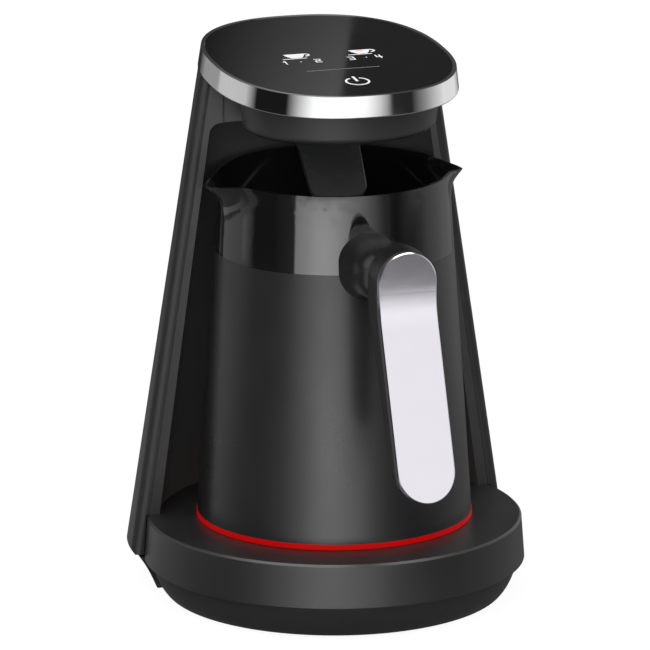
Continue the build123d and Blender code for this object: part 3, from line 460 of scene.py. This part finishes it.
def make_materials():
    return {
        "housing": surface("housing_black", (0.0175, 0.0175, 0.018), 0.35, grain=0.35,
                           Specular_IOR_Level=0.5),
        "head": surface("head_black", (0.026, 0.026, 0.0265), 0.40, grain=0.35,
                        Specular_IOR_Level=0.38),
        "shell": surface("shell_black", (0.020, 0.020, 0.0205), 0.45, grain=0.35,
                         Specular_IOR_Level=0.35),
        # the bay's inner faces are much lighter than the rest: painted fill light in the recess
        "bay": surface("bay_black", (0.022, 0.022, 0.0225), 0.38, grain=0.35, inside_painted_light=(0.08,) * 3,
                       Specular_IOR_Level=0.35),
        # the pot's inner faces are a little lighter than its outside: painted fill light inside the pot
        "pot_gloss": surface("pot_gloss", (0.006, 0.006, 0.0062), 0.07, rough_spread=0.012,
                             inside_painted_light=(0.009,) * 3, Specular_IOR_Level=1.0),
        # lighter than the other blacks: painted fill light on the arm, which sits in the shade under
        # the head
        "arm": surface("arm_black", (0.040, 0.040, 0.041), 0.28, grain=0.2),
        "pot_satin": surface("pot_satin", (0.0145, 0.0145, 0.0152), 0.29, grain=0.3,
                             grain_scale=3800),
        "chrome": surface("chrome", (0.92, 0.92, 0.93), 0.045, rough_spread=0.012, Metallic=1.0),
        "glass": surface("panel_glass", (0.004, 0.004, 0.004), 0.03, rough_spread=0.008,
                         Specular_IOR_Level=0.5),
        # the red emission is a painted glow: the ring is no lamp
        "red": surface("red_ring", (0.20, 0.0, 0.0), 0.45, Emission_Color=(1, 0.0, 0.0, 1),
                       Emission_Strength=0.28, Specular_IOR_Level=0.2),
        "handle": surface("handle_black", (0.016, 0.016, 0.0162), 0.22, grain=0.15),
        "silver": surface("handle_silver", (0.86, 0.835, 0.895), 0.19, deep=(0.85, 0.825, 0.885),
                          rough_spread=0.01, grain=0.06, mottle=160, crowned=True, Metallic=1.0),
        "window": surface("sensor_window", (0.040, 0.040, 0.042), 0.18, rough_spread=0.01),
        "rubber": surface("rubber", (0.012, 0.012, 0.012), 0.75, grain=0.6),
        "steel": surface("steel", (0.55, 0.55, 0.56), 0.32, grain=0.2, stretch=(1, 1, 12),
                         Metallic=1.0),
        "brass": surface("contact_brass", (0.72, 0.50, 0.22), 0.28, grain=0.15, Metallic=1.0),
        "board": surface("circuit_board", (0.012, 0.11, 0.04), 0.35, deep=(0.008, 0.07, 0.028)),
        "component": surface("component_dark", (0.018, 0.018, 0.02), 0.5, grain=0.4),
        "cable": surface("cable_grey", (0.36, 0.36, 0.38), 0.45, grain=0.5, stretch=(18, 1, 1)),
        "heater": surface("heater_metal", (0.62, 0.62, 0.62), 0.5, grain=0.6, Metallic=1.0),
        "diffuser": surface("white_diffuser", (0.8, 0.8, 0.8), 0.4, grain=0.1),
        "symbol": surface("symbol_white", (0.86, 0.86, 0.86), 0.4, Emission_Color=(1, 1, 1, 1),
                          Emission_Strength=0.25),
        "symbol_grey": surface("symbol_grey", (0.24, 0.24, 0.24), 0.4),
        "symbol_orange": surface("symbol_orange", (0.85, 0.55, 0.38), 0.4,
                                 Emission_Color=(1, 0.6, 0.4, 1), Emission_Strength=0.25),
    }


NODE_MATERIALS = {
    "housing": "base_bowl base_cover",
    "head": "head_housing",
    "shell": "column_back_shell",
    "bay": "column_front_shell",
    "rubber": "rubber_feet cord_gland",
    "steel": "base_screws column_screws arm_pin pot_screws heater_element handle_screws",
    "component": "power_socket power_relay transformer buzzer pot_base pot_connector",
    "brass": "socket_contacts pot_contacts",
    "board": "power_board touch_board",
    "cable": "ribbon_cable",
    "chrome": "chrome_band",
    "glass": "touch_panel",
    "diffuser": "key_leds thermostat",
    "window": "sensor_window",
    "arm": "sensor_arm",
    "handle": "handle_core",
    "pot_gloss": "pot_vessel",
    "pot_satin": "pot_sleeve",
    "red": "pot_ring",
    "heater": "heater_plate",
    "silver": "handle_plate",
}


def dress_nodes(materials):
    for kind, names in NODE_MATERIALS.items():
        for name in names.split():
            node = NODES[name]
            node.data.materials.clear()
            node.data.materials.append(materials[kind])


# ---- touch symbols ------------------------------------------------------------------------------
# Places on the glass are in millimetres from the centre of the head, y away from the user.
HEAD_TILT = radians(4.4)
GLASS_POINT = SEAT + Vector((0, 8.2 * MM, 232.6 * MM))
HEAD_MATRIX = Matrix.Translation(GLASS_POINT) @ Matrix.Rotation(HEAD_TILT, 4, "X")
SYMBOL_LOW, SYMBOL_HIGH = -0.10 * MM, -0.06 * MM     # from the plane through GLASS_POINT
CUPS = ((-14.1, 1.5), (14.8, 1.5))
DIGIT_PLACES = ((-20.8, -6.7), (-6.7, -6.7), (8.1, -6.7), (20.3, -6.7))
DOTS = ((-14.2, -6.7), (14.7, -6.7))
DIGIT_W, DIGIT_H, STROKE = 2.2, 4.0, 0.6
LINE_HALF, LINE_Y, LINE_W = 16.0, -20.5, 0.5
POWER_PLACE = (0.3, -38.8)
POWER_R = (4.4, 5.3)
POWER_GAP = 24                       # degrees to each side of the stick
STICK = (0.2, 6.8)
CUP_SIDE = ((4.5, 2.9), (4.2, 1.1), (3.4, -0.6), (2.1, -2.5))
CUP_GRIP, CUP_GRIP_R, CUP_GRIP_TURN = (4.7, 0.9), (1.0, 1.9), (-105, 100)
SAUCER = (-6.6, -3.7, 4.0, -3.1)
GLOW_HALF, GLOW_UP = (1.7, 1.1), 1.4     # the warm spot in the right cup
GLOW_CORNERS, GLOW_LIFT = 24, 0.01 * MM
# strokes of a digit, from the corners and middles of its cell: 0 at the left or foot, 1 opposite
DIGIT_STROKES = (
    ((0.5, 0, 0.5, 1), (0.15, 0.78, 0.5, 1)),
    ((0, 1, 1, 1), (1, 1, 1, 0.5), (1, 0.5, 0, 0.5), (0, 0.5, 0, 0), (0, 0, 1, 0)),
    ((0, 1, 1, 1), (1, 1, 1, 0), (0.2, 0.5, 1, 0.5), (0, 0, 1, 0)),
    ((0, 1, 0, 0.4), (0, 0.4, 1, 0.4), (0.75, 1, 0.75, 0)),
)


def flat_piece(name, outlines, material, lift=0.0):
    """Thin printed piece on the glass, from closed outlines given in millimetres."""
    made = bmesh.new()
    for outline in outlines:
        low = [made.verts.new((x * MM, y * MM, SYMBOL_LOW)) for x, y in outline]
        high = [made.verts.new((x * MM, y * MM, SYMBOL_HIGH + lift)) for x, y in outline]
        made.faces.new(high)
        made.faces.new(low[::-1])
        for k in range(len(outline)):
            after = (k + 1) % len(outline)
            made.faces.new((low[k], low[after], high[after], high[k]))
    bmesh.ops.recalc_face_normals(made, faces=made.faces)
    mesh = bpy.data.meshes.new(name)
    made.to_mesh(mesh)
    made.free()
    mesh.transform(HEAD_MATRIX)
    mesh.materials.append(material)
    piece = bpy.data.objects.new(name, mesh)
    SCENE.collection.objects.link(piece)
    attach(piece, "stand")


def arc_band(centre, inner, outer, start, end, steps):
    """Outlines of a ring segment, one quadrilateral for each step, angles in degrees."""
    made = []
    for k in range(steps):
        a, b = (radians(start + (end - start) * t / steps) for t in (k, k + 1))
        made.append([(centre[0] + r * cos(t), centre[1] + r * sin(t))
                     for r, t in ((inner, a), (outer, a), (outer, b), (inner, b))])
    return made


def bar(x0, y0, x1, y1):
    return [(x0, y0), (x1, y0), (x1, y1), (x0, y1)]


def stroke(x0, y0, x1, y1, width):
    """Straight stroke with square ends between two points."""
    along = Vector((x1 - x0, y1 - y0)).normalized() * width / 2
    side = Vector((-along.y, along.x))
    start, end = Vector((x0, y0)) - along, Vector((x1, y1)) + along
    return [tuple(p) for p in (start - side, end - side, end + side, start + side)]


def digit(value, x, y):
    """Outlines of a plain numeral from 1 to 4, centred on a point."""
    left, foot = x - DIGIT_W / 2, y - DIGIT_H / 2
    return [stroke(left + u0 * DIGIT_W, foot + v0 * DIGIT_H, left + u1 * DIGIT_W,
                   foot + v1 * DIGIT_H, STROKE) for u0, v0, u1, v1 in DIGIT_STROKES[value - 1]]


def cup(x, y):
    """Coffee cup from the side: body, handle ring and saucer line."""
    body = [(x - u, y + v) for u, v in CUP_SIDE] + [(x + u, y + v) for u, v in CUP_SIDE[::-1]]
    grip = arc_band((x + CUP_GRIP[0], y + CUP_GRIP[1]), *CUP_GRIP_R, *CUP_GRIP_TURN, steps=14)
    saucer = bar(x + SAUCER[0], y + SAUCER[1], x + SAUCER[2], y + SAUCER[3])
    return [body] + grip + [saucer]


def glow_spot(x, y):
    turns = [2 * pi * k / GLOW_CORNERS for k in range(GLOW_CORNERS)]
    return [(x + GLOW_HALF[0] * cos(t), y + GLOW_UP + GLOW_HALF[1] * sin(t)) for t in turns]


def make_symbols(materials):
    white = materials["symbol"]
    for side, (x, y) in zip(("left", "right"), CUPS):
        flat_piece(f"cup_{side}", cup(x, y), white)
    flat_piece("cup_glow", [glow_spot(*CUPS[1])], materials["symbol_orange"], lift=GLOW_LIFT)
    for number, (x, y) in enumerate(DIGIT_PLACES, 1):
        flat_piece(f"digit_{number}", digit(number, x, y), white)
    half = STROKE / 2
    for number, (x, y) in enumerate(DOTS, 1):
        flat_piece(f"dot_{number}", [bar(x - half, y - half, x + half, y + half)], white)
    flat_piece("thin_line", [bar(-LINE_HALF, LINE_Y - LINE_W / 2, LINE_HALF, LINE_Y + LINE_W / 2)],
               materials["symbol_grey"])
    x, y = POWER_PLACE
    ring = arc_band(POWER_PLACE, *POWER_R, 90 + POWER_GAP, 450 - POWER_GAP, steps=40)
    stick = bar(x - STROKE, y + STICK[0], x + STROKE, y + STICK[1])
    flat_piece("power_symbol", ring + [stick], white)


make_camera()
make_world()
make_floor()
for name, card in CARDS.items():
    make_card(name, *card)
for name, lamp in LAMPS.items():
    make_lamp(name, *lamp)
MATERIALS = make_materials()
dress_nodes(MATERIALS)
make_symbols(MATERIALS)
